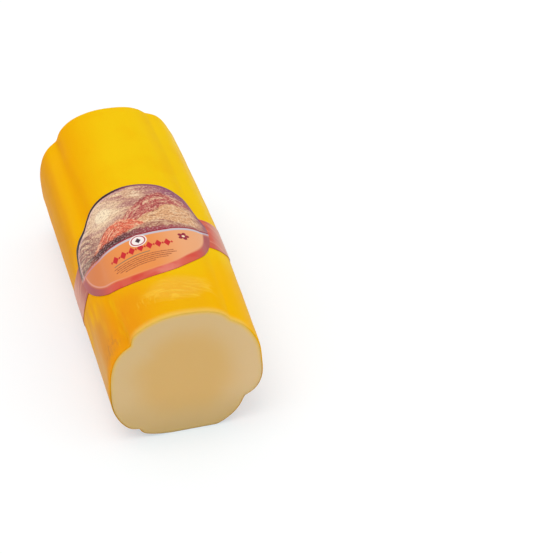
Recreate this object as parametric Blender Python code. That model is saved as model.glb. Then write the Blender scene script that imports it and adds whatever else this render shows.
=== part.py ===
# A log of provoleta, a firm stretched-curd cheese, in a tight yellow film. The near end is cut
# square and shows the paste, the far end keeps its rounded shoulder, and a printed label is
# wrapped round the film.
#
# Metres, +Z up. The log lies along Y with its cut face towards -Y, and rests on a narrow flat
# underneath. The origin is in the middle of the footprint, at the floor.
# Angles round the log are degrees from +X towards +Z, seen from the cut face.

import math

import bmesh
import bpy

# Driving dimensions
LOG_RADIUS = 0.060            # mean radius of the section at the cut
LOG_LENGTH = 0.277            # cut face to the middle of the far end
FLAT_BELOW_AXIS = 0.0573      # the log's own weight has flattened it this far under the axis

# How the log's form changes from the cut face to the far end
BELLY = 0.0018                # extra radius half way along
BELLY_AT_FAR_END = -0.0004
BOW = 0.0018                  # sideways bow of the axis, towards +X, half way along
BOW_AT_FAR_END = -0.00115
TWIST = 3.2                   # degrees that the section has turned by the far end

# The section: gentle swells and hollows, as (angle, height at the cut, height at the far end,
# half width in degrees)
SWELLS = (
    (67.0, 0.0012, 0.0012, 22.0),
    (120.0, 0.0013, 0.0013, 42.0),
    (146.0, 0.0, -0.0008, 35.0),
    (178.0, -0.0012, -0.0012, 26.0),
    (224.0, 0.0046, 0.0040, 42.0),
    (262.0, -0.0018, -0.0018, 35.0),
    (291.0, 0.0018, 0.0018, 32.0),
    (340.0, 0.0016, 0.0016, 29.0),
    (0.0, -0.0008, -0.0008, 19.0),
    (44.0, 0.0, 0.0024, 20.0),
)

# Four creases run the whole length between the lobes, as (angle, how far it swings to one side
# on the way, depth, the share of the depth that is left between the two ends, the width in
# degrees of the side towards larger angles, and that of the side towards smaller ones at the cut
# and at the far end)
CREASES = (
    (53.0, 0.0, 0.0019, 0.40, 5.0, 8.0, 8.0),
    (138.0, -7.6, 0.0044, 0.24, 9.0, 4.5, 8.5),
    (231.5, 0.0, 0.0032, 1.0, 3.5, 4.0, 4.0),
    (324.0, 0.0, 0.0042, 1.0, 7.0, 9.0, 9.0),
)
CREASE_SHARPNESS = 1.5
CREASE_FADES = (0.002, 0.044)      # where the creases grow shallow behind the cut
CREASE_RETURNS = (0.215, 0.274)    # and deep again towards the far end
SWING_OUT = (0.070, 0.158)         # where a crease swings to its side
SWING_BACK = (0.158, 0.285)        # and back again

# Far end
SHOULDER_RADIUS = 0.0050      # rounding between the side and the far end
DOME_HEIGHT = 0.0030          # how far the middle of the far end stands out

# Label: an oval panel with a strap to each side, laid out on the unrolled side of the log.
# Across is measured round the log from its top, towards +X, and along from the cut face.
LABEL_ACROSS = -0.0149        # middle of the panel
LABEL_ALONG = 0.1065
PANEL_HALF_ACROSS = 0.0600
PANEL_TO_FAR_EDGE = 0.0562
PANEL_TO_NEAR_EDGE = 0.0590
STRAP_REACH = 0.118           # from the panel's middle to the end of each strap
STRAP_HALF_WIDTH = 0.0177
STRAP_CORNER = 0.008          # rounding of the straps' corners
STRAP_SET_BACK = -0.0035      # the straps' middle line lies this far along from the panel's
# The straps run askew between two distances from the middle, by so much along the log
SLANT_LEFT = (0.060, 0.118, 0.022)
SLANT_RIGHT = (0.054, 0.116, 0.026)
# Where the panel's far edge falls short of a true oval: place, depth and half width
FAR_EDGE_DIPS = (
    (-0.006, 0.0024, 0.045),
    (-0.039, 0.0058, 0.012),
    (-0.0545, -0.0035, 0.006),
    (0.058, 0.0095, 0.012),
)
LABEL_GAP = 0.0003            # clear of the film under it
LABEL_THICKNESS = 0.0005

# How finely the surfaces are divided
SIDE_STEPS = 144
LENGTH_STEPS = 12
SHOULDER_STEPS = 4
DOME_STEPS = 2
LABEL_STEPS_ALONG = 6

SHARP_ANGLE = 40.0            # edges that turn by more than this many degrees stay sharp

FILM_COLOUR = (0.90, 0.56, 0.02, 1.0)
FILM_ROUGHNESS = 0.35
LABEL_COLOUR = (0.82, 0.38, 0.20, 1.0)
LABEL_ROUGHNESS = 0.30


def remove_everything():
    """Empties the scene."""
    for item in list(bpy.data.objects):
        bpy.data.objects.remove(item, do_unlink=True)


def turn_between(angle, other):
    """The signed turn in degrees from one angle to another, within half a turn."""
    return (angle - other + 180.0) % 360.0 - 180.0


def change_along(middle, far_end, share):
    """A value that is zero at the cut, rises to its middle value and ends on another."""
    return middle * math.sin(math.pi * share) + far_end * share


def rise(value, limits):
    """Zero below the first limit, one above the second and smooth in between."""
    low, high = limits
    share = min(max((value - low) / (high - low), 0.0), 1.0)
    return share * share * (3.0 - 2.0 * share)


def section_radius(angle, along):
    """Distance from the axis to the film, at an angle and a distance from the cut face."""
    share = along / LOG_LENGTH
    radius = LOG_RADIUS + change_along(BELLY, BELLY_AT_FAR_END, share)
    section_angle = angle - TWIST * share
    for centre, near_height, far_height, half_width in SWELLS:
        away = abs(turn_between(section_angle, centre))
        if away < half_width:
            height = near_height + (far_height - near_height) * share
            radius += height * 0.5 * (1.0 + math.cos(math.pi * away / half_width))
    shallow = rise(along, CREASE_FADES) - rise(along, CREASE_RETURNS)
    swung = rise(along, SWING_OUT) - rise(along, SWING_BACK)
    for centre, swing, depth, depth_left, width_up, near_width_down, far_width_down in CREASES:
        away = turn_between(section_angle, centre + swing * swung)
        width_down = near_width_down + (far_width_down - near_width_down) * share
        width = width_up if away > 0.0 else width_down
        fall = math.exp(-(abs(away) / width) ** CREASE_SHARPNESS)
        radius -= depth * (1.0 - (1.0 - depth_left) * shallow) * fall
    downwards = -math.sin(math.radians(angle))
    if radius * downwards > FLAT_BELOW_AXIS:
        radius = FLAT_BELOW_AXIS / downwards
    return radius


def point_on_log(angle, along, offset=0.0):
    """A point at an angle round the log, a distance from the cut face and off the film."""
    radius = section_radius(angle, along) + offset
    turn = math.radians(angle)
    sideways = change_along(BOW, BOW_AT_FAR_END, along / LOG_LENGTH)
    return (sideways + radius * math.cos(turn), along, radius * math.sin(turn))


def section_angles():
    """Evenly spaced angles round the section."""
    return [360.0 * step / SIDE_STEPS for step in range(SIDE_STEPS)]


def make_object(name, bm, colour, roughness):
    """Turns a bmesh into a smooth shaded object with its own material."""
    bmesh.ops.triangulate(bm, faces=bm.faces[:])
    bmesh.ops.recalc_face_normals(bm, faces=bm.faces[:])
    mesh = bpy.data.meshes.new(name)
    bm.to_mesh(mesh)
    bm.free()
    mesh.shade_smooth()
    mesh.set_sharp_from_angle(angle=math.radians(SHARP_ANGLE))
    material = bpy.data.materials.new(name)
    material.use_nodes = True
    shader = material.node_tree.nodes["Principled BSDF"]
    shader.inputs["Base Color"].default_value = colour
    shader.inputs["Roughness"].default_value = roughness
    shader.inputs["Metallic"].default_value = 0.0
    mesh.materials.append(material)
    item = bpy.data.objects.new(name, mesh)
    bpy.context.scene.collection.objects.link(item)
    return item


def bridge_rings(bm, first, second):
    """Joins two rings of vertices with quads."""
    count = len(first)
    for index in range(count):
        following = (index + 1) % count
        bm.faces.new((first[index], first[following], second[following], second[index]))


def close_ring(bm, ring, middle):
    """Closes a ring with a fan of triangles round a middle vertex."""
    count = len(ring)
    for index in range(count):
        bm.faces.new((ring[index], ring[(index + 1) % count], middle))


def side_ring(bm, along):
    """A ring of the full section."""
    return [bm.verts.new(point_on_log(angle, along)) for angle in section_angles()]


def shoulder_ring(bm, share):
    """A ring on the rounded shoulder, from its start (0) to where the far end begins (1)."""
    lean = math.radians(90.0 * share)
    inset = SHOULDER_RADIUS * (1.0 - math.cos(lean))
    start = LOG_LENGTH - DOME_HEIGHT - SHOULDER_RADIUS
    along = start + SHOULDER_RADIUS * math.sin(lean)
    return [bm.verts.new(point_on_log(angle, along, -inset)) for angle in section_angles()]


def dome_ring(bm, share):
    """A ring on the far end, from its edge (share 1) towards its middle (share 0)."""
    along = LOG_LENGTH - DOME_HEIGHT * share ** 2
    ring = []
    for angle in section_angles():
        inwards = (section_radius(angle, along) - SHOULDER_RADIUS) * (1.0 - share)
        ring.append(bm.verts.new(point_on_log(angle, along, -SHOULDER_RADIUS - inwards)))
    return ring


def make_log():
    """The cheese in its film: a lobed log, cut square at one end."""
    bm = bmesh.new()
    side_length = LOG_LENGTH - DOME_HEIGHT - SHOULDER_RADIUS
    rings = [side_ring(bm, side_length * step / LENGTH_STEPS) for step in range(LENGTH_STEPS + 1)]
    rings += [shoulder_ring(bm, step / SHOULDER_STEPS) for step in range(1, SHOULDER_STEPS + 1)]
    rings += [dome_ring(bm, 1.0 - step / (DOME_STEPS + 1)) for step in range(1, DOME_STEPS + 1)]
    for first, second in zip(rings, rings[1:]):
        bridge_rings(bm, first, second)
    close_ring(bm, rings[0], bm.verts.new((0.0, 0.0, 0.0)))
    close_ring(bm, rings[-1], bm.verts.new((BOW_AT_FAR_END, LOG_LENGTH, 0.0)))
    return make_object("cheese_log", bm, FILM_COLOUR, FILM_ROUGHNESS)


def far_edge_dip(from_middle):
    """How far the panel's far edge falls short of a true oval."""
    dip = 0.0
    for place, depth, half_width in FAR_EDGE_DIPS:
        reach = min(abs(from_middle - place) / half_width, 1.0)
        dip += depth * 0.5 * (1.0 + math.cos(math.pi * reach))
    return dip


def label_edges(from_middle):
    """The label's two edges along the log, at a distance round it from the middle."""
    half = STRAP_HALF_WIDTH
    into_corner = abs(from_middle) - (STRAP_REACH - STRAP_CORNER)
    if into_corner > 0.0:
        share = into_corner / STRAP_CORNER
        half -= STRAP_CORNER * (1.0 - math.sqrt(1.0 - share ** 2))
    slant_from, slant_to, slant = SLANT_RIGHT if from_middle > 0.0 else SLANT_LEFT
    middle = STRAP_SET_BACK + slant * rise(abs(from_middle), (slant_from, slant_to))
    low, high = middle - half, middle + half
    place = from_middle / PANEL_HALF_ACROSS
    if abs(place) < 1.0:
        arch = math.sqrt(1.0 - place ** 2)
        low = min(low, -PANEL_TO_NEAR_EDGE * arch)
        high = max(high, PANEL_TO_FAR_EDGE * arch - far_edge_dip(from_middle))
    return LABEL_ALONG + low, LABEL_ALONG + high


def label_columns():
    """The angles that the log shares with the label, with their distance from its middle."""
    columns = []
    for step in range(-SIDE_STEPS, SIDE_STEPS):
        angle = 360.0 * step / SIDE_STEPS
        from_middle = math.radians(90.0 - angle) * LOG_RADIUS - LABEL_ACROSS
        if abs(from_middle) < STRAP_REACH:
            columns.append((angle, from_middle))
    return columns


def label_sheet(bm, offset):
    """One face of the label as a grid of vertices, a column for each angle."""
    sheet = []
    for angle, from_middle in label_columns():
        low, high = label_edges(from_middle)
        column = []
        for step in range(LABEL_STEPS_ALONG + 1):
            along = low + (high - low) * step / LABEL_STEPS_ALONG
            column.append(bm.verts.new(point_on_log(angle, along, offset)))
        sheet.append(column)
    return sheet


def make_label():
    """The printed label: a thin shell that follows the film."""
    bm = bmesh.new()
    inner = label_sheet(bm, LABEL_GAP)
    outer = label_sheet(bm, LABEL_GAP + LABEL_THICKNESS)
    last_column = len(inner) - 1
    last_row = LABEL_STEPS_ALONG
    for column in range(last_column):
        for row in range(last_row):
            for sheet in (inner, outer):
                bm.faces.new((sheet[column][row], sheet[column + 1][row],
                              sheet[column + 1][row + 1]))
                bm.faces.new((sheet[column][row], sheet[column + 1][row + 1],
                              sheet[column][row + 1]))
        for row in (0, last_row):
            bm.faces.new((inner[column][row], inner[column + 1][row],
                          outer[column + 1][row], outer[column][row]))
    for column in (0, last_column):
        for row in range(last_row):
            bm.faces.new((inner[column][row], inner[column][row + 1],
                          outer[column][row + 1], outer[column][row]))
    return make_object("label", bm, LABEL_COLOUR, LABEL_ROUGHNESS)


def centre_on_footprint(items):
    """Moves the pieces so that the origin is in the middle of the footprint, at the floor."""
    points = [vertex.co for item in items for vertex in item.data.vertices]
    middle_x, middle_y = [
        (min(point[axis] for point in points) + max(point[axis] for point in points)) / 2.0
        for axis in (0, 1)
    ]
    for item in items:
        item.location = (-middle_x, -middle_y, FLAT_BELOW_AXIS)


def main():
    remove_everything()
    centre_on_footprint([make_log(), make_label()])


main()
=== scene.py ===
# Looks for a log of provoleta in its yellow film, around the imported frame.
import math

import bpy
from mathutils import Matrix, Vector


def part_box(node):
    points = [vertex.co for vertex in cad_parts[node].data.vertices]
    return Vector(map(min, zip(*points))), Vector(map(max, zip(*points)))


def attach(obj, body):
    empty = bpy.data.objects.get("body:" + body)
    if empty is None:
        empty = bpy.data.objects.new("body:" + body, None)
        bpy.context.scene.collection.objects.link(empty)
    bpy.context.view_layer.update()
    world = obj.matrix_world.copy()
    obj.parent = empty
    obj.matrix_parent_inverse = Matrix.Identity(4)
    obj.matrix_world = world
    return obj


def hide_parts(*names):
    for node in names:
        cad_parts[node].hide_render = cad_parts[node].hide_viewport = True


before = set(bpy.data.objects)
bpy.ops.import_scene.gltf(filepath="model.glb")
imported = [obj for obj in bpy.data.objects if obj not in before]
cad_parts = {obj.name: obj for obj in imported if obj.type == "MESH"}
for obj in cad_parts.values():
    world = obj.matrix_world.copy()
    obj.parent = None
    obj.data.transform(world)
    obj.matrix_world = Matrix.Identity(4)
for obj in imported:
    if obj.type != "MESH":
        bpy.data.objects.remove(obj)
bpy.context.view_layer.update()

logLow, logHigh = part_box("cheese_log")

# The log's form, in metres and degrees. Angles run from +X towards +Z, seen from the cut face.
logSizes = {
    "radius": 0.060,
    "length": logHigh.y - logLow.y,
    "flatBelowAxis": 0.0573,
    "axisX": -0.0019,
    "belly": 0.0018,
    "bellyAtFarEnd": -0.0004,
    "bow": 0.0018,
    "bowAtFarEnd": -0.00115,
    "twist": 3.2,
    "shoulder": 0.0050,
    "dome": 0.0030,
    # angle, height at the cut, height at the far end, half width
    "swells": (
        (67.0, 0.0012, 0.0012, 22.0),
        (120.0, 0.0013, 0.0013, 42.0),
        (146.0, 0.0, -0.0008, 35.0),
        (178.0, -0.0012, -0.0012, 26.0),
        (224.0, 0.0046, 0.0040, 42.0),
        (262.0, -0.0018, -0.0018, 35.0),
        (291.0, 0.0018, 0.0018, 32.0),
        (340.0, 0.0016, 0.0016, 29.0),
        (0.0, -0.0008, -0.0008, 19.0),
        (44.0, 0.0, 0.0024, 20.0),
    ),
    # angle, swing to one side on the way, depth, share of it half way along, width towards larger
    # angles, and width towards smaller ones at the cut and at the far end
    "creases": (
        (53.0, 0.0, 0.0019, 0.40, 5.0, 8.0, 8.0),
        (138.0, -7.6, 0.0044, 0.24, 9.0, 4.5, 8.5),
        (231.5, 0.0, 0.0032, 1.0, 3.5, 4.0, 4.0),
        (324.0, 0.0, 0.0042, 1.0, 7.0, 9.0, 9.0),
    ),
    "creaseSharpness": 1.5,
    "creaseFades": (0.002, 0.044),       # where the creases grow shallow behind the cut
    "creaseReturns": (0.215, 0.274),     # and deep again towards the far end
    "swingOut": (0.070, 0.158),          # where a crease swings to its side
    "swingBack": (0.158, 0.285),
}
toMetres = 0.001
toMillimetres = 1000.0
degree = math.pi / 180.0


# Node arithmetic

class Wire:
    # A socket that can be reckoned with like a number, in a geometry or a shader tree
    def __init__(self, tree, socket):
        self.tree = tree
        self.socket = socket

    def __add__(self, other):
        return reckon(self.tree, "ADD", self, other)

    def __radd__(self, other):
        return reckon(self.tree, "ADD", other, self)

    def __sub__(self, other):
        return reckon(self.tree, "SUBTRACT", self, other)

    def __rsub__(self, other):
        return reckon(self.tree, "SUBTRACT", other, self)

    def __mul__(self, other):
        return reckon(self.tree, "MULTIPLY", self, other)

    def __rmul__(self, other):
        return reckon(self.tree, "MULTIPLY", other, self)

    def __truediv__(self, other):
        return reckon(self.tree, "DIVIDE", self, other)

    def __pow__(self, other):
        return reckon(self.tree, "POWER", self, other)


def plug(tree, value, socket):
    if isinstance(value, Wire):
        tree.links.new(value.socket, socket)
    else:
        socket.default_value = value


def addNode(tree, kind, sockets=None, **settings):
    node = tree.nodes.new(kind)
    for name, value in settings.items():
        setattr(node, name, value)
    for name, value in (sockets or {}).items():
        plug(tree, value, node.inputs[name])
    return node


def reckon(tree, operation, *values):
    node = tree.nodes.new("ShaderNodeMath")
    node.operation = operation
    for value, socket in zip(values, node.inputs):
        plug(tree, value, socket)
    return Wire(tree, node.outputs[0])


def sine(wire):
    return reckon(wire.tree, "SINE", wire)


def cosine(wire):
    return reckon(wire.tree, "COSINE", wire)


def size(wire):
    return reckon(wire.tree, "ABSOLUTE", wire)


def lesser(wire, other):
    return reckon(wire.tree, "MINIMUM", wire, other)


def greater(wire, other):
    return reckon(wire.tree, "MAXIMUM", wire, other)


def rise(wire, low, high):
    # 0 below low, 1 above high and smooth in between
    node = addNode(wire.tree, "ShaderNodeMapRange", interpolation_type="SMOOTHSTEP")
    for value, socket in zip((wire, low, high, 0.0, 1.0), node.inputs):
        plug(wire.tree, value, socket)
    return Wire(wire.tree, node.outputs[0])


def span(wire, low, high, soft):
    # 1 between low and high, with soft edges
    return rise(wire, low - soft, low + soft) * (1.0 - rise(wire, high - soft, high + soft))


def vector(tree, x, y, z):
    node = tree.nodes.new("ShaderNodeCombineXYZ")
    for value, socket in zip((x, y, z), node.inputs):
        plug(tree, value, socket)
    return Wire(tree, node.outputs[0])


def split(wire):
    node = addNode(wire.tree, "ShaderNodeSeparateXYZ", {"Vector": wire})
    return [Wire(wire.tree, socket) for socket in node.outputs]


def noise(place, scale, detail=2.0, roughness=0.5, distortion=0.0):
    node = addNode(place.tree, "ShaderNodeTexNoise", {
        "Vector": place, "Scale": scale, "Detail": detail, "Roughness": roughness,
        "Distortion": distortion,
    })
    return Wire(place.tree, node.outputs[0])


# The log's form in Geometry Nodes

def startTree(name, inputs):
    # inputs: name -> (socket type, value)
    tree = bpy.data.node_groups.new(name, "GeometryNodeTree")
    identifiers = {}
    for label, (kind, value) in inputs.items():
        socket = tree.interface.new_socket(label, in_out="INPUT", socket_type="NodeSocket" + kind)
        identifiers[label] = socket.identifier
    tree.interface.new_socket("Geometry", in_out="OUTPUT", socket_type="NodeSocketGeometry")
    entry = tree.nodes.new("NodeGroupInput")
    wires = {label: Wire(tree, entry.outputs[label]) for label in inputs}
    return tree, wires, identifiers


def growPiece(name, tree, identifiers, inputs):
    # Runs a tree on an empty mesh and keeps the result as a plain mesh
    seed = bpy.data.objects.new(name + "_seed", bpy.data.meshes.new(name + "_seed"))
    bpy.context.scene.collection.objects.link(seed)
    modifier = seed.modifiers.new(name, "NODES")
    modifier.node_group = tree
    for label, (kind, value) in inputs.items():
        modifier[identifiers[label]] = value
    evaluated = seed.evaluated_get(bpy.context.evaluated_depsgraph_get())
    mesh = bpy.data.meshes.new_from_object(evaluated)
    mesh.name = name
    seed.modifiers.remove(modifier)
    bpy.data.objects.remove(seed)
    piece = bpy.data.objects.new(name, mesh)
    bpy.context.scene.collection.objects.link(piece)
    print(name, len(mesh.vertices), "vertices", len(mesh.polygons), "faces")
    return piece


def formInputs():
    return {
        "Radius": ("Float", logSizes["radius"]),
        "Length": ("Float", logSizes["length"]),
        "Belly": ("Float", logSizes["belly"]),
        "Bow": ("Float", logSizes["bow"]),
        "Twist": ("Float", logSizes["twist"]),
        "Flat Below Axis": ("Float", logSizes["flatBelowAxis"]),
        "Relief": ("Float", 1.0),
    }


def changeAlong(middle, farEnd, share):
    return middle * sine(math.pi * share) + farEnd * share


def swingShare(along):
    return rise(along, *logSizes["swingOut"]) - rise(along, *logSizes["swingBack"])


def sectionRadius(form, angle, along):
    share = along / form["Length"]
    radius = form["Radius"] + changeAlong(form["Belly"], logSizes["bellyAtFarEnd"], share)
    sectionAngle = angle - form["Twist"] * share
    for centre, nearHeight, farHeight, halfWidth in logSizes["swells"]:
        away = size(reckon(angle.tree, "WRAP", sectionAngle - centre, 180.0, -180.0))
        reach = lesser(away / halfWidth, 1.0)
        height = nearHeight + (farHeight - nearHeight) * share
        radius = radius + height * 0.5 * (1.0 + cosine(math.pi * reach))
    shallow = rise(along, *logSizes["creaseFades"]) - rise(along, *logSizes["creaseReturns"])
    swung = swingShare(along)
    for centre, swing, depth, depthLeft, widthUp, nearWidth, farWidth in logSizes["creases"]:
        away = reckon(angle.tree, "WRAP", sectionAngle - (centre + swing * swung), 180.0, -180.0)
        above = reckon(angle.tree, "GREATER_THAN", away, 0.0)
        widthDown = nearWidth + (farWidth - nearWidth) * share
        width = widthDown + (widthUp - widthDown) * above
        fall = (size(away) / width) ** logSizes["creaseSharpness"]
        depthHere = depth * (1.0 - (1.0 - depthLeft) * shallow)
        radius = radius - depthHere * reckon(angle.tree, "EXPONENT", 0.0 - fall)
    downwards = greater(0.0 - sine(angle * degree), 0.01)
    return lesser(radius + filmRelief(form, angle, along), form["Flat Below Axis"] / downwards)


filmSizes = {
    "thickness": 0.0010,
    "around": 420,
    "fineStepsAlong": 84,     # the crumpled part near the cut
    "fineLength": 0.052,
    "stepsAlong": 74,
    "hiddenStepsAlong": 12,
    "shoulderSteps": 8,
    "domeSteps": 14,
    "rimSteps": 5,
    "unevenness": 0.0004,     # broad and shallow
    "puckers": 0.00014,       # fine lengthwise waves
    "crinkles": 0.00055,
    "reliefStarts": (0.0005, 0.006),     # the waves fade out towards the cut
    "endFolds": 0.00110,      # gathered film on the far end
    "endFoldPlace": (0.30, 0.90, 0.28),  # share of the radius where they show, and its softness
}

# Middle round the log and along it, and half of each extent, in millimetres
crumpleSizes = {
    "patch": (3.0, 27.5, 31.0, 15.0),
    "leftPatch": (-22.0, 25.0, 13.0, 8.0),
    "palePatch": (1.0, 30.0, 22.0, 13.0),
    "leftHeight": 0.55,       # of the upright folds on the left
}


def awayFrom(patch, across, along):
    # 0 in the middle of an oval patch and 1 on its edge
    middleAcross, middleAlong, halfAcross, halfAlong = crumpleSizes[patch]
    return ((across - middleAcross) / halfAcross) ** 2.0 + ((along - middleAlong) / halfAlong) ** 2.0


def crumples(across, along):
    # The crumpled patch above the cut, from 0 to 1 on its ridges; across and along in millimetres
    tree = across.tree
    uneven = noise(vector(tree, across, along, 0.0), 0.09, 1.0)
    patch = 1.0 - rise(awayFrom("patch", across, along) + uneven, 0.6, 1.7)
    lean = along + across * 0.22
    folded = noise(vector(tree, across * 0.26, lean, 3.0), 0.25, 3.0, 0.55, 0.9)
    ridges = rise(folded, 0.44, 0.70)
    upright = noise(vector(tree, across, along * 0.30 - across * 0.25, 7.0), 0.50, 1.0, 0.5, 0.4)
    leftPatch = 1.0 - rise(awayFrom("leftPatch", across, along), 0.2, 1.3)
    leftRidges = rise(upright, 0.44, 0.66) * leftPatch * crumpleSizes["leftHeight"]
    return greater(ridges * patch, leftRidges)


def filmRelief(form, angle, along):
    # Small waves of the film, as a height over the smooth log
    tree = angle.tree
    turn = angle * degree
    x = cosine(turn) * logSizes["radius"]
    z = sine(turn) * logSizes["radius"]
    broad = noise(vector(tree, x, along, z), 28.0, 1.0) - 0.5
    pucker = noise(vector(tree, x, along * 0.12, z), 160.0, 2.0) - 0.5
    height = broad * (2.0 * filmSizes["unevenness"]) + pucker * (2.0 * filmSizes["puckers"])
    across = (90.0 - angle) * (degree * logSizes["radius"])
    ridges = crumples(across * toMillimetres, along * toMillimetres)
    height = height + ridges * filmSizes["crinkles"]
    return height * form["Relief"] * rise(along, *filmSizes["reliefStarts"])


def pleats(tree, x, z):
    # Gathers of the film on the far end, from 0 to 1; x and z are turned so that they run inwards
    long = noise(vector(tree, x, z, 0.0), 4.0, 1.0, 0.4)
    return rise(long, 0.40, 0.62)


def endFold(form, angle, along, share):
    turn = angle * degree
    farEnd = rise(along, 0.20, 0.21)
    place = span(share, *filmSizes["endFoldPlace"]) * farEnd * form["Relief"]
    return (pleats(angle.tree, cosine(turn), sine(turn)) - 1.0) * place * filmSizes["endFolds"]


def pointOnLog(form, angle, along, inset, share, fold=0.0):
    # share shrinks the section towards the axis, for the two ends
    radius = (sectionRadius(form, angle, along) - inset) * share
    turn = angle * degree
    sideways = changeAlong(form["Bow"], logSizes["bowAtFarEnd"], along / form["Length"])
    return vector(
        angle.tree,
        logSizes["axisX"] + sideways + radius * cosine(turn),
        logLow.y + along + fold,
        logLow.z + form["Flat Below Axis"] + radius * sine(turn),
    )


def unrolled(angle, along, share):
    # Metres round the log and along it, carrying on towards the axis on the two ends
    inwards = (1.0 - share) * logSizes["radius"]
    way = reckon(angle.tree, "SIGN", along - logSizes["length"] / 2.0)
    across = (90.0 - angle) * (degree * logSizes["radius"])
    return vector(angle.tree, across, along + inwards * way, 0.0)


def storeUnrolled(tree, geometry, value):
    return addNode(tree, "GeometryNodeStoreNamedAttribute",
                   {"Geometry": geometry, "Name": "unrolled", "Value": value},
                   data_type="FLOAT2", domain="CORNER")


def turnedTree(name):
    # Sweeps a profile of (inset, share, along) points round the log
    inputs = formInputs()
    inputs["Around"] = ("Int", filmSizes["around"])
    inputs["Profile"] = ("Object", None)
    inputs["Finish"] = ("Material", None)
    tree, form, identifiers = startTree(name, inputs)
    profile = addNode(tree, "GeometryNodeObjectInfo", {"Object": form["Profile"]})
    profilePoints = Wire(tree, profile.outputs["Geometry"])
    count = addNode(tree, "GeometryNodeAttributeDomainSize", {"Geometry": profilePoints},
                    component="MESH")
    rows = Wire(tree, count.outputs["Point Count"])
    grid = addNode(tree, "GeometryNodeMeshGrid", {
        "Size X": 1.0, "Size Y": 1.0, "Vertices X": form["Around"] + 1.0, "Vertices Y": rows,
    })
    position = Wire(tree, tree.nodes.new("GeometryNodeInputPosition").outputs[0])
    across, down, unused = split(position)
    row = reckon(tree, "ROUND", (down + 0.5) * (rows - 1.0))
    sampled = addNode(tree, "GeometryNodeSampleIndex",
                      {"Geometry": profilePoints, "Index": row},
                      data_type="FLOAT_VECTOR", domain="POINT")
    plug(tree, position, sampled.inputs["Value"])
    inset, share, along = split(Wire(tree, sampled.outputs["Value"]))
    angle = -90.0 + 360.0 * (across + 0.5)
    marked = storeUnrolled(tree, Wire(tree, grid.outputs["Mesh"]), unrolled(angle, along, share))
    shaped = addNode(tree, "GeometryNodeSetPosition", {
        "Geometry": Wire(tree, marked.outputs["Geometry"]),
        "Position": pointOnLog(form, angle, along, inset, share, endFold(form, angle, along, share)),
    })
    closed = addNode(tree, "GeometryNodeMergeByDistance",
                     {"Geometry": Wire(tree, shaped.outputs["Geometry"]), "Distance": 0.00001})
    finishTree(tree, Wire(tree, closed.outputs["Geometry"]), form["Finish"])
    return tree, identifiers, inputs


def finishTree(tree, geometry, material):
    smooth = addNode(tree, "GeometryNodeSetShadeSmooth", {"Geometry": geometry})
    real = addNode(tree, "GeometryNodeRealizeInstances",
                   {"Geometry": Wire(tree, smooth.outputs[0])})
    painted = addNode(tree, "GeometryNodeSetMaterial",
                      {"Geometry": Wire(tree, real.outputs[0]), "Material": material})
    out = tree.nodes.new("NodeGroupOutput")
    tree.links.new(painted.outputs[0], out.inputs[0])


def sideProfile(depth, stepsAlong, firstAlong=0.0, fineSteps=0):
    # From the cut to the middle of the far end, a depth under the outside of the film
    straight = logSizes["length"] - logSizes["dome"] - logSizes["shoulder"]
    rounding = logSizes["shoulder"] - depth
    points = []
    for step in range(fineSteps):
        fineLength = filmSizes["fineLength"] - firstAlong
        points.append((depth, 1.0, firstAlong + fineLength * step / fineSteps))
    if fineSteps:
        firstAlong = filmSizes["fineLength"]
    for step in range(stepsAlong):
        points.append((depth, 1.0, firstAlong + (straight - firstAlong) * step / stepsAlong))
    for step in range(filmSizes["shoulderSteps"] + 1):
        lean = math.pi / 2 * step / filmSizes["shoulderSteps"]
        points.append((depth + rounding * (1 - math.cos(lean)), 1.0,
                       straight + rounding * math.sin(lean)))
    for step in range(1, filmSizes["domeSteps"] + 1):
        share = 1.0 - step / filmSizes["domeSteps"]
        points.append((logSizes["shoulder"], share,
                       logSizes["length"] - depth - logSizes["dome"] * share ** 2))
    return points


def filmProfile():
    thick = filmSizes["thickness"]
    points = sideProfile(thick, filmSizes["hiddenStepsAlong"], thick)[::-1]
    for step in range(filmSizes["rimSteps"] + 1):
        lean = math.pi / 2 * step / filmSizes["rimSteps"]
        points.append((thick * (1 - math.sin(lean)), 1.0, thick * (1 - math.cos(lean))))
    outside = sideProfile(0.0, filmSizes["stepsAlong"], thick, filmSizes["fineStepsAlong"])
    return points + outside[1:]


cheeseSizes = {
    "faceSteps": 40,
    "sideSteps": 10,
    "clearOfFilm": 0.00002,
}


def cheeseProfile():
    depth = filmSizes["thickness"] + cheeseSizes["clearOfFilm"]
    points = []
    for step in range(cheeseSizes["faceSteps"]):
        points.append((depth, step / cheeseSizes["faceSteps"], 0.0))
    return points + sideProfile(depth, cheeseSizes["sideSteps"])


def makeProfile(name, points):
    mesh = bpy.data.meshes.new(name)
    mesh.from_pydata(points, [], [])
    profile = bpy.data.objects.new(name, mesh)
    bpy.context.scene.collection.objects.link(profile)
    return profile


def makeTurnedPiece(name, points, material):
    tree, identifiers, inputs = turnedTree(name + "_tree")
    profile = makeProfile(name + "_profile", points)
    inputs["Profile"] = ("Object", profile)
    inputs["Finish"] = ("Material", material)
    piece = growPiece(name, tree, identifiers, inputs)
    bpy.data.objects.remove(profile)
    return piece


# The label

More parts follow.
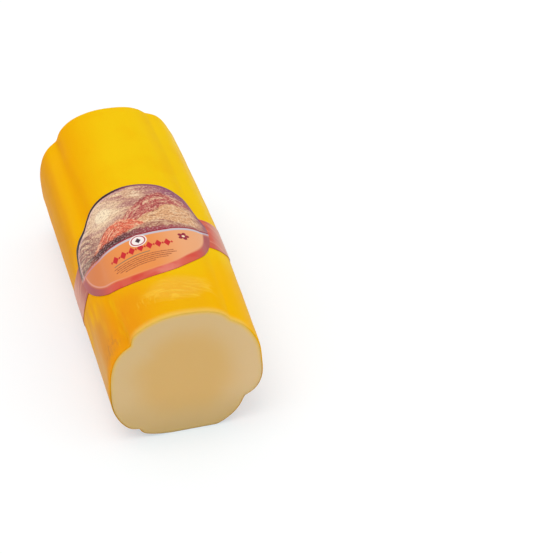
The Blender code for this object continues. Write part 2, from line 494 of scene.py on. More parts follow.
labelSizes = {
    "across": -0.0149,        # middle of the panel, from the top line towards +X
    "along": 0.1065,          # and from the cut
    "halfAcross": 0.0600,
    "toFarEdge": 0.0562,
    "toNearEdge": 0.0590,
    "strapReach": 0.118,
    "strapHalfWidth": 0.0177,
    "strapCorner": 0.008,
    "strapSetBack": -0.0035,      # the straps' middle line lies this far along from the panel's
    # the straps run askew between two distances from the middle, by so much along the log
    "slantLeft": (0.060, 0.118, 0.022),
    "slantRight": (0.054, 0.116, 0.026),
    # where the far edge falls short of a true oval: place, depth, half width
    "farEdgeDips": (
        (-0.006, 0.0024, 0.045),
        (-0.039, 0.0058, 0.012),
        (-0.0545, -0.0035, 0.006),
        (0.058, 0.0095, 0.012),
    ),
    "fillet": 0.003,          # where the panel runs into the straps
    "lift": 0.00018,          # its inner face, over the film
    "thickness": 0.00025,
    "columns": 320,
    "rows": 100,
}


def farEdgeDip(fromMiddle):
    dip = 0.0
    for middle, depth, halfWidth in labelSizes["farEdgeDips"]:
        reach = lesser(size(fromMiddle - middle) / halfWidth, 1.0)
        dip = dip + depth * 0.5 * (1.0 + cosine(math.pi * reach))
    return dip


def labelEdges(fromMiddle):
    # The two edges along the log, at a distance round it from the panel's middle
    tree = fromMiddle.tree
    corner = labelSizes["strapCorner"]
    intoCorner = greater(size(fromMiddle) - (labelSizes["strapReach"] - corner), 0.0) / corner
    strap = labelSizes["strapHalfWidth"] - corner * (1.0 - (1.0 - intoCorner ** 2.0) ** 0.5)
    low, high, slant = labelSizes["slantLeft"]
    middle = labelSizes["strapSetBack"] + slant * rise(0.0 - fromMiddle, low, high)
    low, high, slant = labelSizes["slantRight"]
    middle = middle + slant * rise(fromMiddle, low, high)
    place = lesser(size(fromMiddle) / labelSizes["halfAcross"], 1.0)
    arch = (1.0 - place ** 2.0) ** 0.5
    beyond = labelSizes["strapReach"] * reckon(tree, "GREATER_THAN", place, 0.9999)
    nearEdge = beyond - arch * labelSizes["toNearEdge"]
    farEdge = arch * labelSizes["toFarEdge"] - beyond - farEdgeDip(fromMiddle)
    low = reckon(tree, "SMOOTH_MIN", middle - strap, nearEdge, labelSizes["fillet"])
    high = reckon(tree, "SMOOTH_MAX", middle + strap, farEdge, labelSizes["fillet"])
    return low + labelSizes["along"], high + labelSizes["along"]


def labelTree():
    inputs = formInputs()
    inputs["Columns"] = ("Int", labelSizes["columns"])
    inputs["Rows"] = ("Int", labelSizes["rows"])
    inputs["Finish"] = ("Material", None)
    tree, form, identifiers = startTree("label_tree", inputs)
    reach = labelSizes["strapReach"] * 2.0
    grid = addNode(tree, "GeometryNodeMeshGrid", {
        "Size X": reach, "Size Y": 2.0, "Vertices X": form["Columns"],
        "Vertices Y": form["Rows"],
    })
    position = Wire(tree, tree.nodes.new("GeometryNodeInputPosition").outputs[0])
    fromMiddle, row, unused = split(position)
    low, high = labelEdges(fromMiddle)
    along = low + (high - low) * (row + 1.0) * 0.5
    across = fromMiddle + labelSizes["across"]
    angle = 90.0 - across / (degree * logSizes["radius"])
    marked = storeUnrolled(tree, Wire(tree, grid.outputs["Mesh"]), vector(tree, across, along, 0.0))
    lifted = labelSizes["lift"] + labelSizes["thickness"]
    shaped = addNode(tree, "GeometryNodeSetPosition", {
        "Geometry": Wire(tree, marked.outputs["Geometry"]),
        "Position": pointOnLog(form, angle, along, 0.0 - lifted, 1.0),
    })
    finishTree(tree, Wire(tree, shaped.outputs["Geometry"]), form["Finish"])
    return tree, identifiers, inputs


def makeLabel(material):
    tree, identifiers, inputs = labelTree()
    inputs["Finish"] = ("Material", material)
    sheet = growPiece("label_print", tree, identifiers, inputs)
    solidify = sheet.modifiers.new("thickness", "SOLIDIFY")
    solidify.thickness = labelSizes["thickness"]
    solidify.offset = -1.0
    evaluated = sheet.evaluated_get(bpy.context.evaluated_depsgraph_get())
    thick = bpy.data.meshes.new_from_object(evaluated)
    sheet.modifiers.remove(solidify)
    sheet.data = thick
    return sheet


# Finishes

def startMaterial(name):
    material = bpy.data.materials.new(name)
    material.use_nodes = True
    tree = material.node_tree
    return material, tree, tree.nodes["Principled BSDF"]


def sRgb(red, green, blue):
    # From 0 to 255 as seen, to the linear values that sockets take
    return tuple(((value / 255 + 0.055) / 1.055) ** 2.4 if value > 10 else value / 255 / 12.92
                 for value in (red, green, blue)) + (1.0,)


def mixColour(share, under, over):
    tree = share.tree
    node = addNode(tree, "ShaderNodeMix", data_type="RGBA")
    plug(tree, share, node.inputs[0])
    plug(tree, under, node.inputs[6])
    plug(tree, over, node.inputs[7])
    return Wire(tree, node.outputs[2])


def unrolledPlace(tree):
    # Millimetres round the log from its top line and along it from the cut
    node = addNode(tree, "ShaderNodeUVMap", uv_map="unrolled")
    across, along, unused = split(Wire(tree, node.outputs[0]))
    return across * toMillimetres, along * toMillimetres


def objectPlace(tree):
    return Wire(tree, tree.nodes.new("ShaderNodeTexCoord").outputs["Object"])


def letLightIn(shader, looks):
    shader.inputs["Subsurface Weight"].default_value = looks["glow"]
    shader.inputs["Subsurface Radius"].default_value = looks["glowReach"]
    shader.inputs["Subsurface Scale"].default_value = 1.0


def addBump(tree, shader, height, looks):
    strength, distance = looks["bump"]
    bump = addNode(tree, "ShaderNodeBump",
                   {"Strength": strength, "Distance": distance, "Height": height})
    plug(tree, Wire(tree, bump.outputs[0]), shader.inputs["Normal"])


filmLooks = {
    # top, left, right, under and the two edge colours carry painted light and shade: yellow where the
    # film is lit, orange where it is shaded
    "top": sRgb(237, 190, 13),
    "left": sRgb(232, 158, 1),
    # a painted highlight on the ridge beside the left crease
    "leftRidgeHighlight": sRgb(238, 172, 0),
    "leftEdge": sRgb(213, 142, 5),
    "right": sRgb(243, 193, 0),
    "rightEdge": sRgb(228, 165, 0),
    # painted shade, in the creases and between the gathers on the far end; the darker streaks use it
    # too
    "under": sRgb(232, 152, 8),
    "crease": sRgb(224, 149, 4),
    "near": sRgb(232, 169, 14),
    "nearRight": sRgb(243, 178, 0),
    "nearLeft": sRgb(228, 142, 20),
    "paintedSheen": sRgb(208, 138, 54),      # painted sheen: a dull reflection in a strip along the lower left, near the cut
    # a paler painted reflection at the outer edge of that strip
    "paleReflection": sRgb(210, 158, 92),
    "smudge": sRgb(186, 116, 56),
    # painted highlights on the crinkle ridges and on the far end's gathers; below, a painted sheen on
    # the crumpled patch
    "foldHighlight": sRgb(246, 200, 66),
    "crumpleSheen": sRgb(238, 176, 72),
    "rim": sRgb(231, 186, 88),
    # the lower cut edge, partly its own colour and partly painted shade
    "lowRim": sRgb(176, 128, 34),
    "roughness": 0.36,
    "roughnessGrain": 0.12,
    "ior": 1.04,
    "glow": 0.15,                     # light that goes in and comes out close by
    "glowReach": (0.004, 0.002, 0.0005),
    "bump": (0.5, 0.0004),            # strength and height
}

# Where those colours lie, in millimetres round the log from its top line or along it from the cut:
# where one gives way to the next, or a patch's two ends and its softness
filmZones = {
    "topToLeft": (6.0, 56.0),
    "topToRight": (30.0, 70.0),
    "leftShift": (8.0, 150.0, 270.0),         # the orange reaches higher towards the far end
    "near": (26.0, 66.0),
    "nearShift": (26.0, 22.0, 46.0),          # and the near colours farther back on the right
    "nearToRight": (12.0, 34.0),
    "nearToLeft": (8.0, 46.0),
    "farHalf": (110.0, 150.0),
    # a painted highlight on the ridge beside the left crease
    "leftRidgeHighlight": (-66.0, -52.0, 5.0),
    # painted shade on the two edges that turn away and on the underside
    "leftEdge": (70.0, 96.0),
    "leftEdgeFar": (63.0, 82.0),
    "rightEdge": (66.0, 108.0, 12.0),
    "under": (-0.060, -0.004),                # by height over the floor, in metres
    # painted shade along the creases
    "leftCrease": (-54.5, -48.5, 3.0),
    "leftCreaseSwing": 8.0,
    "leftCreaseDeepens": (236.0, 264.0),
    "rightCrease": (27.0, 35.0, 5.0),
    "streaksBegin": (34.0, 52.0),
    "streaksEnd": (100.0, 140.0),
    "streaksFade": (60.0, 130.0),
    "strip": (40.0, 84.0),
    "stripBegins": (2.0, 12.0),
    "stripUnder": (112.0, 136.0),
    # the painted sheen and the pale painted reflection low on the left
    "paintedSheen": (56.0, 74.0),
    "paleReflection": (74.0, 94.0),
    "smudgesAcross": (-78.0, -58.0, 8.0),
    "smudgesAlong": (8.0, 22.0, 6.0),
    "pleats": (0.006, 0.030),                 # from the middle of the far end, in metres
    "rim": (-1.6, 6.0),
    "rimOnTop": (6.0, 40.0, 60.0),            # its middle, and where it fades to the sides
    "lowRim": (0.6, 1.4),
    "lowRimUnder": (84.0, 112.0),
}


def filmGroundsAndShading(x, z, across, along, wander, onEnd):
    # Painted light and shade: yellow on the lit top and right, more orange down the shaded left and
    # underneath, darker at the edges that turn away; also more orange towards the cut
    onSide = 1.0 - onEnd
    around = (across + along * 0.012) * onSide + (x * 900.0 + 8.0) * onEnd + wander * 14.0
    shift, low, high = filmZones["leftShift"]
    leftward = shift * rise(along, low, high) - around
    colour = mixColour(rise(leftward, *filmZones["topToLeft"]), filmLooks["top"], filmLooks["left"])
    colour = mixColour(rise(around, *filmZones["topToRight"]), colour, filmLooks["right"])
    near = mixColour(rise(across, *filmZones["nearToRight"]), filmLooks["near"], filmLooks["nearRight"])
    near = mixColour(rise(0.0 - around, *filmZones["nearToLeft"]), near, filmLooks["nearLeft"])
    shift, low, high = filmZones["nearShift"]
    back = along + wander * 16.0 - shift * rise(across, low, high)
    colour = mixColour(1.0 - rise(back, *filmZones["near"]), colour, near)

    farHalf = rise(along, *filmZones["farHalf"]) * onSide
    # painted highlight on the ridge beside the left crease, towards the far end
    leftRidgeHighlight = span(across, *filmZones["leftRidgeHighlight"]) * farHalf * 0.85
    colour = mixColour(leftRidgeHighlight, colour, filmLooks["leftRidgeHighlight"])
    # painted shade at the left and right edges, where the film turns away
    low, high = filmZones["leftEdge"]
    farLow, farHigh = filmZones["leftEdgeFar"]
    leftEdge = rise(0.0 - across, low - (low - farLow) * farHalf, high - (high - farHigh) * farHalf)
    colour = mixColour(leftEdge * onSide * (0.8 + 0.1 * farHalf), colour, filmLooks["leftEdge"])
    rightEdge = span(across, *filmZones["rightEdge"]) * 0.7 * onSide
    colour = mixColour(rightEdge, colour, filmLooks["rightEdge"])
    # painted shade on the underside, by height over the floor
    return mixColour(rise(0.0 - z, *filmZones["under"]), colour, filmLooks["under"])


def paintCreaseShade(colour, across, along, onSide):
    # Painted shade along the left and right creases, deeper towards the far end
    swung = swingShare(along * toMetres) * filmZones["leftCreaseSwing"]
    depth = 0.45 + 0.40 * rise(along, *filmZones["leftCreaseDeepens"])
    left = span(across - swung, *filmZones["leftCrease"]) * depth
    right = span(across, *filmZones["rightCrease"]) * 0.16
    return mixColour(greater(left, right) * onSide, colour, filmLooks["crease"])


def paintStreaks(colour, streaks, across, along, onSide):
    # Lengthwise streaks down the left side, mostly near the cut
    begin = rise(0.0 - across, *filmZones["streaksBegin"])
    place = begin * (1.0 - rise(size(across), *filmZones["streaksEnd"])) * onSide
    place = place * (1.0 - 0.75 * rise(along, *filmZones["streaksFade"]))
    colour = mixColour(rise(streaks, 0.50, 0.70) * place * 0.32, colour, filmLooks["top"])
    return mixColour(rise(0.0 - streaks, -0.48, -0.34) * place * 0.30, colour, filmLooks["crease"])


def paintSheenAndSmudges(colour, streaks, wander, across, along):
    # A painted sheen: dull and paler painted reflections in a strip low on the left, and the thin brown
    # smudges in it
    tree = across.tree
    ragged = (streaks - 0.5) * 50.0 + wander * 36.0
    strip = 1.0 - rise(along + ragged, *filmZones["strip"])
    strip = strip * rise(along + ragged * 0.2, *filmZones["stripBegins"])
    strip = strip * (1.0 - rise(size(across) + ragged * 0.4, *filmZones["stripUnder"]))
    leftward = wander * 10.0 - across
    # painted sheen, a dull reflection, and over it a paler painted reflection
    paintedSheenShare = strip * rise(leftward, *filmZones["paintedSheen"]) * 0.85
    colour = mixColour(paintedSheenShare, colour, filmLooks["paintedSheen"])
    pale = strip * rise(leftward + ragged * 0.15, *filmZones["paleReflection"])
    colour = mixColour(pale * (0.68 + 0.27 * rise(streaks, 0.40, 0.60)), colour, filmLooks["paleReflection"])
    grime = noise(vector(tree, across * 0.4, along * 0.16, 0.0), 0.9, 3.0, 0.6)
    smudges = span(across, *filmZones["smudgesAcross"]) * span(along, *filmZones["smudgesAlong"])
    return mixColour(rise(grime, 0.46, 0.60) * smudges * 0.5, colour, filmLooks["smudge"])


def paintPleats(colour, x, z, onEnd):
    # Painted shade between the gathers on the far end and painted highlights on them
    sideways, height = x - logSizes["axisX"], z - logSizes["flatBelowAxis"]
    outwards = (sideways * sideways + height * height) ** 0.5 + 0.0001
    gathers = pleats(x.tree, sideways / outwards, height / outwards)
    pleated = onEnd * rise(outwards, *filmZones["pleats"])
    colour = mixColour((1.0 - gathers) * pleated * 0.22, colour, filmLooks["crease"])
    return mixColour(gathers * pleated * 0.16, colour, filmLooks["foldHighlight"])


def paintCutEdge(colour, across, along):
    # Pale on top where the film meets the paste, and darker underneath, where the cut edge is partly
    # its own colour and partly painted shade near the floor
    middle, low, high = filmZones["rimOnTop"]
    onTop = 1.0 - rise(size(across - middle), low, high)
    colour = mixColour((1.0 - rise(along, *filmZones["rim"])) * onTop, colour, filmLooks["rim"])
    underneath = rise(size(across), *filmZones["lowRimUnder"])
    lowRim = (1.0 - rise(along, *filmZones["lowRim"])) * underneath * 0.8
    return mixColour(lowRim, colour, filmLooks["lowRim"])


def filmMaterial():
    material, tree, shader = startMaterial("yellow_film")
    across, along = unrolledPlace(tree)
    place = objectPlace(tree)
    x, y, z = split(place)
    farEnd = logSizes["length"] * toMillimetres
    onEnd = rise(along, farEnd - 6.0, farEnd + 6.0)
    onSide = 1.0 - onEnd
    wander = noise(place, 24.0, 2.0) - 0.5
    mottle = rise(noise(place, 34.0, 3.0), 0.44, 0.76)
    streaks = noise(vector(tree, across * 0.11, along * 0.022, 5.0), 1.0, 2.0, 0.6)
    ridges = crumples(across, along)
    crumpled = 1.0 - rise(awayFrom("palePatch", across, along), 0.2, 1.5)

    colour = filmGroundsAndShading(x, z, across, along, wander, onEnd)
    colour = paintCreaseShade(colour, across, along, onSide)
    colour = mixColour(mottle * 0.22, colour, filmLooks["left"])
    colour = paintStreaks(colour, streaks, across, along, onSide)
    colour = paintSheenAndSmudges(colour, streaks, wander, across, along)
    # painted sheen over the crumpled patch and painted highlights on its crinkle ridges
    colour = mixColour(crumpled * 0.40, colour, filmLooks["crumpleSheen"])
    colour = mixColour(ridges * 0.60, colour, filmLooks["foldHighlight"])
    colour = paintPleats(colour, x, z, onEnd)
    colour = paintCutEdge(colour, across, along)
    plug(tree, colour, shader.inputs["Base Color"])

    grain = noise(place, 260.0, 3.0)
    roughness = filmLooks["roughness"] + (grain - 0.5) * filmLooks["roughnessGrain"]
    plug(tree, roughness, shader.inputs["Roughness"])
    shader.inputs["IOR"].default_value = filmLooks["ior"]
    letLightIn(shader, filmLooks)
    addBump(tree, shader, grain * 0.3 + ridges, filmLooks)
    return material


cheeseLooks = {
    "rim": sRgb(211, 180, 128),
    "middle": sRgb(211, 171, 104),
    "right": sRgb(218, 185, 137),
    # painted shade towards the bottom of the face
    "low": sRgb(190, 158, 99),
    "stained": sRgb(234, 186, 58),     # where the film's yellow shines through
    "roughness": 0.5,
    "ior": 1.3,
    "glow": 0.3,
    "glowReach": (0.006, 0.004, 0.002),
    "bump": (0.12, 0.0003),
    # where they lie: in millimetres from the rim, then in metres sideways and over the floor
    "rimToMiddle": (6.0, 34.0),
    "toRight": (0.018, 0.052),
    "lowToHigh": (0.0, 0.046),
    "stain": (-1.4, 3.8),
    "stainOnTop": (0.045, 0.085),
}


def cheeseMaterial():
    material, tree, shader = startMaterial("cheese_paste")
    across, along = unrolledPlace(tree)
    place = objectPlace(tree)
    x, y, z = split(place)
    fromRim = 0.0 - along
    cloud = noise(place, 26.0, 3.0) - 0.5
    inwards = rise(fromRim + cloud * 16.0, *cheeseLooks["rimToMiddle"])
    colour = mixColour(inwards, cheeseLooks["rim"], cheeseLooks["middle"])
    rightward = rise(x + cloud * 0.02, *cheeseLooks["toRight"])
    colour = mixColour(rightward * 0.6, colour, cheeseLooks["right"])
    # painted shade, darker towards the bottom of the face
    low = 1.0 - rise(z + cloud * 0.02, *cheeseLooks["lowToHigh"])
    colour = mixColour(low * 0.75, colour, cheeseLooks["low"])
    stain = 1.0 - rise(fromRim, *cheeseLooks["stain"])
    stain = stain * (0.25 + 0.75 * rise(z, *cheeseLooks["stainOnTop"]))
    colour = mixColour(stain, colour, cheeseLooks["stained"])
    plug(tree, colour, shader.inputs["Base Color"])
    shader.inputs["Roughness"].default_value = cheeseLooks["roughness"]
    shader.inputs["IOR"].default_value = cheeseLooks["ior"]
    letLightIn(shader, cheeseLooks)
    addBump(tree, shader, noise(place, 420.0, 3.0), cheeseLooks)
    return material


# Print, in millimetres from the middle of the panel: x towards +X, y away from the cut
printSizes = {
    "lineBelowMiddle": 10.0,      # the pale ribbon between the two fields, and how it bends
    "lineBend": 0.0016,
    "lineHalf": 1.1,
    "band": 0.872,                # inner edge of the crimson band, as a share of the oval
    "hills": (
        # middle, height over the ribbon, half width, colour
        (24.0, 48.0, 38.0, (182, 84, 80)),
        (-50.0, 38.0, 30.0, (168, 120, 106)),
        (34.0, 31.0, 44.0, (214, 160, 114)),
        (-10.0, 27.0, 25.0, (218, 102, 74)),
        (14.0, 15.0, 30.0, (180, 128, 104)),
    ),
    "sun": (-19.0, 41.0, 7.0, 15.0),      # middle, radius, and how far its glow reaches
    "lozenges": (24.8, 6.8, -23.7),       # half the row, pitch, place
    "rule": (-23.0, 6.0, -30.2, 0.45),
    "bars": ((-24.0, 23.0, -33.2), (-22.0, 25.0, -35.4), (-23.0, 21.0, -37.6), (-20.0, 18.0, -39.8),
             (-16.0, 8.0, -42.0)),
    "lozengeHalves": (2.7, 4.5, 0.8, 1.6),    # half widths and heights, large and then small
    "barHalf": 0.55,
    "medallion": (0.0, -15.0, 6.6),       # middle and radius
    "medallionRing": (0.9, 1.9),          # from its rim inwards
    "medallionCentre": (2.2, 3.0),
    "rosette": (34.0, -17.5, 4.6),
    "rosetteCentre": 1.2,
    "petals": 5,
    "frontHeight": 9.5,                   # of the dark front over the ribbon
}

# Where its colours lie in x, unless another measure is named: where one gives way to the next, or
# a patch's two ends and its softness
printZones = {
    "dusk": (4.0, 40.0),
    "field": (-48.0, -12.0),
    "fieldRight": (4.0, 34.0),
    "frontRed": (-18.0, 14.0),
    "frontSinks": (-8.0, 26.0),
    "frontThins": (28.0, 46.0),
    "frontStarts": (1.5, 2.5),            # over the ribbon
    "rightEdge": (14.0, 44.0),
    "rightEdgeOval": (0.80, 0.97),        # by the share of the oval
    "ribbonTaper": (-42.0, -16.0),
    "underside": (-4.0, 2.0),             # over the ribbon
    "bandMiddle": (-38.0, 46.0, 10.0),
    # a painted highlight on the band
    "bandHighlight": (4.0, 24.0, 8.0),
    "bandRed": (-34.0, 43.0, 11.0),
    "bandNarrow": (-34.0, 40.0, 10.0),
    "bandEdge": (-0.022, 0.016),          # from the band's inner edge, as a share of the oval
    "innerLine": (-0.030, -0.012, 0.006),
    "innerLineFades": (-34.0, -14.0),
    "archRight": (-12.0, 18.0),
    "archPaleLine": (0.925, 0.944, 0.008),
    "archStarts": (-7.0, 14.0),           # along the log
    "strapSides": (0.0, 1.0),
    "strapFar": (58.0, 84.0),
    "strapOval": (0.995, 1.01),
    "dipFades": (0.0, 16.0),              # along the log
}

printLooks = {
    "sky": sRgb(208, 164, 132),
    "dusk": sRgb(158, 88, 112),
    "cloud": sRgb(160, 92, 100),
    "sun": sRgb(244, 224, 190),
    "crest": sRgb(236, 204, 164),
    "furrow": sRgb(104, 76, 78),
    "speck": sRgb(104, 42, 46),
    "fleck": sRgb(244, 220, 184),
    "ridgeDark": sRgb(48, 26, 34),
    "ridgeRed": sRgb(146, 58, 72),
    "fieldLeft": sRgb(206, 120, 70),
    "field": sRgb(226, 140, 74),
    "fieldRight": sRgb(229, 162, 113),
    "ribbon": sRgb(192, 184, 194),
    "ribbonEnd": sRgb(190, 132, 138),
    "line": sRgb(146, 30, 54),
    "lozenge": sRgb(196, 38, 44),
    "rule": sRgb(126, 112, 88),
    "bar": sRgb(150, 76, 50),
    "medallion": sRgb(238, 228, 224),
    "ring": sRgb(170, 44, 54),
    "centre": sRgb(74, 44, 56),
    "bandEnds": sRgb(166, 80, 80),
    "band": sRgb(208, 88, 68),
    "bandRed": sRgb(204, 60, 48),
    # a painted highlight on the band
    "bandHighlight": sRgb(218, 120, 104),
    "innerLine": sRgb(228, 176, 172),
    "edgeDark": sRgb(40, 18, 34),
    "edgePale": sRgb(214, 176, 178),
    "edgeRight": sRgb(132, 72, 100),
    "strapLeft": sRgb(166, 74, 54),
    "strapRight": sRgb(202, 74, 46),
    "strapFar": sRgb(196, 112, 74),
    "strapPale": sRgb(216, 150, 116),
    "strapDark": sRgb(158, 76, 64),
    "roughness": 0.28,
    "ior": 1.2,
}


def lozenge(x, y, halfWidth, halfHeight, soft):
    return 1.0 - rise(size(x) / halfWidth + size(y) / halfHeight, 1.0 - soft, 1.0 + soft)


def disc(x, y, radius, soft):
    return 1.0 - rise((x * x + y * y) ** 0.5, radius - soft, radius + soft)


def paintHills(x, up, flat):
    # Rolling hills under a low sun, over the ribbon
    tree = x.tree
    colour = mixColour(rise(x, *printZones["dusk"]), printLooks["sky"], printLooks["dusk"])
    sunX, sunUp, sunRadius, glow = printSizes["sun"]
    cloud = noise(vector(tree, x * 0.16 + up * 0.1, up * 0.5, 9.0), 0.34, 3.0, 0.6)
    colour = mixColour(rise(cloud, 0.48, 0.60) * 0.70, colour, printLooks["cloud"])
    colour = mixColour(rise(0.0 - cloud, -0.46, -0.36) * 0.65, colour, printLooks["fleck"])
    colour = mixColour(disc(x - sunX, up - sunUp, glow, 9.0) * 0.5, colour, printLooks["fleck"])
    colour = mixColour(disc(x - sunX, up - sunUp, sunRadius, 0.8) * 0.8, colour, printLooks["sun"])
    wave = (noise(flat, 0.07, 2.0) - 0.5) * 9.0
    for middle, height, halfWidth, tone in printSizes["hills"]:
        reach = (x - middle) / halfWidth
        crest = height * reckon(tree, "EXPONENT", 0.0 - reach * reach) + wave
        below = crest - up
        hill = rise(below, -1.2, 1.2)
        # strokes that follow the hill
        strokes = noise(vector(tree, x * 0.26, below, middle), 0.40, 3.0, 0.72, 0.5)
        soil = mixColour(rise(strokes, 0.50, 0.62) * 0.65, sRgb(*tone), printLooks["crest"])
        soil = mixColour(rise(0.0 - strokes, -0.45, -0.36) * 0.60, soil, printLooks["speck"])
        colour = mixColour(hill, colour, soil)
    return colour


def paintFurrows(x, y, up):
    # Ploughed rows on the low hill at the left
    rows = reckon(x.tree, "PINGPONG", x * 0.35 + y, 3.2)
    place = (1.0 - rise(x, -39.0, -33.0)) * rise(up, 3.0, 6.0)
    return (1.0 - rise(rows, 0.5, 1.3)) * place


def paintRows(colour, x, y):
    # A row of lozenges, a rule and bars
    tree = x.tree
    half, pitch, rowY = printSizes["lozenges"]
    largeHalf, largeHigh, smallHalf, smallHigh = printSizes["lozengeHalves"]
    inRow = span(x, -half, half, 0.1)
    step = reckon(tree, "PINGPONG", x, pitch / 2.0)
    large = lozenge(step, y - rowY, largeHalf, largeHigh, 0.16)
    small = lozenge(step - pitch / 2.0, y - rowY, smallHalf, smallHigh, 0.3)
    colour = mixColour(greater(large, small) * inRow, colour, printLooks["lozenge"])
    low, high, rowY, half = printSizes["rule"]
    rule = span(x, low, high, 0.3) * span(y, rowY - half, rowY + half, 0.25)
    colour = mixColour(rule, colour, printLooks["rule"])
    worn = 0.5 + 0.4 * rise(noise(vector(tree, x, y * 0.4, 0.0), 0.9, 1.0), 0.4, 0.6)
    half = printSizes["barHalf"]
    for low, high, rowY in printSizes["bars"]:
        bar = span(x, low, high, 0.4) * span(y, rowY - half, rowY + half, 0.3)
        colour = mixColour(bar * worn, colour, printLooks["bar"])
    return colour


def paintMedallion(colour, x, y):
    middleX, middleY, radius = printSizes["medallion"]
    x, y = x - middleX, y - middleY
    colour = mixColour(disc(x, y, radius, 0.35), colour, printLooks["medallion"])
    outside, inside = printSizes["medallionRing"]
    ring = disc(x, y, radius - outside, 0.3) - disc(x, y, radius - inside, 0.3)
    colour = mixColour(ring, colour, printLooks["ring"])
    centre = lozenge(x, y, *printSizes["medallionCentre"], 0.2)
    return mixColour(centre, colour, printLooks["centre"])


def paintRosette(colour, x, y):
    middleX, middleY, radius = printSizes["rosette"]
    x, y = x - middleX, y - middleY
    turn = reckon(x.tree, "ARCTAN2", y, x)
    petals = radius * (0.50 + 0.50 * size(cosine(turn * (printSizes["petals"] / 2.0))) ** 0.7)
    flower = 1.0 - rise((x * x + y * y) ** 0.5 - petals, -0.4, 0.4)
    colour = mixColour(flower, colour, printLooks["line"])
    return mixColour(disc(x, y, printSizes["rosetteCentre"], 0.4), colour, printLooks["fleck"])


def paintField(x, y):
    # The plain field under the ribbon
    toMiddle = rise(x, *printZones["field"])
    colour = mixColour(toMiddle, printLooks["fieldLeft"], printLooks["field"])
    toRight = rise(x, *printZones["fieldRight"])
    return paintRows(mixColour(toRight, colour, printLooks["fieldRight"]), x, y)


def paintPicture(x, y, up, oval):
    # The picture over the ribbon, with a dark front and a printed grain
    flat = vector(x.tree, x, y, 0.0)
    speckle = noise(flat, 0.62, 4.0, 0.7)
    pale = rise(0.0 - speckle, -0.48, -0.38)
    dark = rise(speckle, 0.50, 0.60)
    picture = paintHills(x, up, flat)
    picture = mixColour(paintFurrows(x, y, up) * 0.6, picture, printLooks["furrow"])
    picture = mixColour(dark * 0.42, picture, printLooks["speck"])
    picture = mixColour(pale * 0.36, picture, printLooks["fleck"])

    toRed = rise(x, *printZones["frontRed"])
    front = mixColour(toRed, printLooks["ridgeDark"], printLooks["ridgeRed"])
    uneven = (noise(flat, 0.3, 2.0) - 0.5) * 7.0
    top = printSizes["frontHeight"] + uneven - rise(x, *printZones["frontSinks"]) * 3.5
    place = rise(up, *printZones["frontStarts"]) * (1.0 - rise(up - top, -1.5, 1.5))
    place = place * (1.0 - rise(size(x + 4.0), *printZones["frontThins"]) * 0.65)
    picture = mixColour(place * 0.9, picture, front)
    picture = mixColour(place * pale * 0.45, picture, printLooks["edgePale"])
    rightEdge = rise(oval, *printZones["rightEdgeOval"]) * rise(x, *printZones["rightEdge"])
    return mixColour(rightEdge * 0.6, picture, printLooks["edgeRight"])


def paintRibbon(colour, x, up):
    # The pale line between the field and the picture, with a thin dark one over it
    half = printSizes["lineHalf"]
    taper = rise(x, *printZones["ribbonTaper"])
    ribbon = mixColour(taper, printLooks["ribbonEnd"], printLooks["ribbon"])
    colour = mixColour(span(up, -half * (0.45 + 0.55 * taper), half, 0.4), colour, ribbon)
    line = span(up, half + 0.3, half + 1.6, 0.35) * taper
    return mixColour(line, colour, printLooks["line"])


def paintBand(colour, x, y, oval, underside):
    # The crimson band under the panel, and the fine line inside it
    band = mixColour(span(x, *printZones["bandMiddle"]), printLooks["bandEnds"], printLooks["band"])
    # a painted highlight on the middle of the band
    band = mixColour(span(x, *printZones["bandHighlight"]), band, printLooks["bandHighlight"])
    patches = rise(noise(vector(x.tree, x * 0.5, y * 0.5, 4.0), 0.16, 2.0), 0.42, 0.68)
    patches = patches * span(x, *printZones["bandRed"])
    band = mixColour(patches * 0.70, band, printLooks["bandRed"])
    innerEdge = printSizes["band"] + 0.035 * (1.0 - span(x, *printZones["bandNarrow"]))
    inBand = rise(oval - innerEdge, *printZones["bandEdge"])
    colour = mixColour(inBand * underside, colour, band)
    inner = span(oval - innerEdge, *printZones["innerLine"])
    inner = inner * (1.0 - rise(x, *printZones["innerLineFades"]) * 0.8)
    return mixColour(inner * underside * 0.40, colour, printLooks["innerLine"])


def paintArch(colour, x, y, oval, underside):
    # The dark edge over the picture, with a pale line inside it on the left
    rightward = rise(x, *printZones["archRight"])
    edge = mixColour(rightward, printLooks["edgeDark"], printLooks["edgeRight"])
    paleLine = span(oval, *printZones["archPaleLine"]) * (1.0 - underside) * (1.0 - rightward)
    colour = mixColour(paleLine * 0.7, colour, printLooks["edgePale"])
    edgeStart = 0.955 + 0.012 * rightward
    outline = rise(oval - edgeStart, -0.006, 0.008) * (1.0 - underside)
    return mixColour(outline * rise(y, *printZones["archStarts"]), colour, edge)


def paintStraps(colour, x, y, oval):
    leftToRight = rise(x, *printZones["strapSides"])
    strap = mixColour(leftToRight, printLooks["strapLeft"], printLooks["strapRight"])
    strap = mixColour(rise(size(x), *printZones["strapFar"]), strap, printLooks["strapFar"])
    worn = noise(vector(x.tree, x * 0.07, y * 0.5, 11.0), 0.45, 3.0, 0.6)
    strap = mixColour(rise(worn, 0.50, 0.68) * 0.40, strap, printLooks["strapPale"])
    strap = mixColour(rise(0.0 - worn, -0.48, -0.34) * 0.30, strap, printLooks["strapDark"])
    return mixColour(rise(oval, *printZones["strapOval"]), colour, strap)


def panelOval(x, y):
    # 0 in the middle of the panel and 1 on its edge
    dip = farEdgeDip(x * toMetres) * toMillimetres * rise(y, *printZones["dipFades"])
    toFarEdge = (y + dip) / (labelSizes["toFarEdge"] * toMillimetres)
    toNearEdge = (0.0 - y) / (labelSizes["toNearEdge"] * toMillimetres)
    toSide = x / (labelSizes["halfAcross"] * toMillimetres)
    return (toSide ** 2.0 + greater(toFarEdge, toNearEdge) ** 2.0) ** 0.5


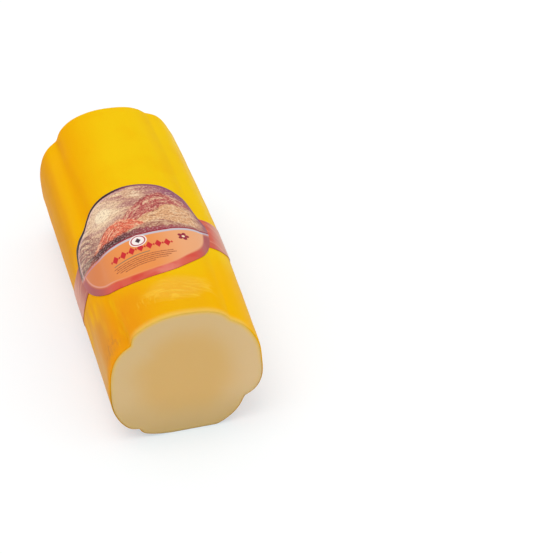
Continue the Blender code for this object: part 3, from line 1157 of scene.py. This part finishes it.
def labelMaterial():
    material, tree, shader = startMaterial("label_print")
    across, along = unrolledPlace(tree)
    x = across - labelSizes["across"] * toMillimetres
    y = along - labelSizes["along"] * toMillimetres
    oval = panelOval(x, y)
    up = y + printSizes["lineBelowMiddle"] - x * x * printSizes["lineBend"]
    underside = 1.0 - rise(up, *printZones["underside"])
    colour = mixColour(rise(up, -0.2, 0.2), paintField(x, y), paintPicture(x, y, up, oval))
    colour = paintRibbon(colour, x, up)
    colour = paintMedallion(colour, x, y)
    colour = paintRosette(colour, x, y)
    colour = paintBand(colour, x, y, oval, underside)
    colour = paintArch(colour, x, y, oval, underside)
    colour = paintStraps(colour, x, y, oval)
    plug(tree, colour, shader.inputs["Base Color"])
    shader.inputs["Roughness"].default_value = printLooks["roughness"]
    shader.inputs["IOR"].default_value = printLooks["ior"]
    return material


filmFinish = filmMaterial()
cheeseFinish = cheeseMaterial()
labelFinish = labelMaterial()

film = makeTurnedPiece("film", filmProfile(), filmFinish)
cheese = makeTurnedPiece("cheese", cheeseProfile(), cheeseFinish)
label = makeLabel(labelFinish)

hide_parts("cheese_log")
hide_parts("cheese_log")
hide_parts("label")
for piece in (film, cheese, label):
    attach(piece, "root")
print("pieces made")


# Floor, light and camera

studio = {
    "floorHalf": 3.0,
    # a light table, toned so that the yellow that the film throws on it stays out of the shadow
    "floorColour": (0.80, 0.60, 0.50, 1.0),
    "floorGlow": (0.135, 0.38, 0.495, 1.0),
    "skyStrength": 0.88,
}


def makeFloor():
    half = studio["floorHalf"]
    mesh = bpy.data.meshes.new("floor")
    mesh.from_pydata([(-half, -half, 0.0), (half, -half, 0.0), (half, half, 0.0), (-half, half, 0.0)],
                     [], [(0, 1, 2, 3)])
    floor = bpy.data.objects.new("floor", mesh)
    bpy.context.scene.collection.objects.link(floor)
    material, tree, shader = startMaterial("floor_white")
    shader.inputs["Base Color"].default_value = studio["floorColour"]
    shader.inputs["Roughness"].default_value = 0.8
    shader.inputs["Specular IOR Level"].default_value = 0.0
    shader.inputs["Emission Color"].default_value = studio["floorGlow"]
    shader.inputs["Emission Strength"].default_value = 1.0
    mesh.materials.append(material)


def makeSky():
    world = bpy.data.worlds.new("studio")
    bpy.context.scene.world = world
    world.use_nodes = True
    background = world.node_tree.nodes["Background"]
    background.inputs["Color"].default_value = (1.0, 1.0, 1.0, 1.0)
    background.inputs["Strength"].default_value = studio["skyStrength"]


keySizes = {
    "from": (-0.30, -0.10, 1.38),
    "strength": 0.78,
    "spread": 42.0,           # degrees that it fills of the sky
}


def makeKey():
    light = bpy.data.lights.new("key", "SUN")
    light.energy = keySizes["strength"]
    light.angle = math.radians(keySizes["spread"])
    lamp = bpy.data.objects.new("key", light)
    lamp.location = keySizes["from"]
    lamp.rotation_euler = Vector(keySizes["from"]).to_track_quat("Z", "Y").to_euler()
    bpy.context.scene.collection.objects.link(lamp)


cameraSizes = {
    "fromCutFace": (-0.28394, -1.28838, 1.17538),
    "elevation": 39.37,
    "azimuth": -15.396,
    "lens": 152.36,
    "sensor": 36.0,
}


def makeCamera():
    data = bpy.data.cameras.new("camera")
    data.lens = cameraSizes["lens"]
    data.sensor_width = cameraSizes["sensor"]
    camera = bpy.data.objects.new("camera", data)
    x, y, z = cameraSizes["fromCutFace"]
    camera.location = (logSizes["axisX"] + x, logLow.y + y, logLow.z + logSizes["flatBelowAxis"] + z)
    camera.rotation_euler = (math.radians(90.0 - cameraSizes["elevation"]), 0.0,
                             math.radians(cameraSizes["azimuth"]))
    bpy.context.scene.collection.objects.link(camera)
    bpy.context.scene.camera = camera


makeFloor()
makeSky()
makeKey()
makeCamera()
bpy.context.scene.view_settings.view_transform = "Standard"
print("stage made")
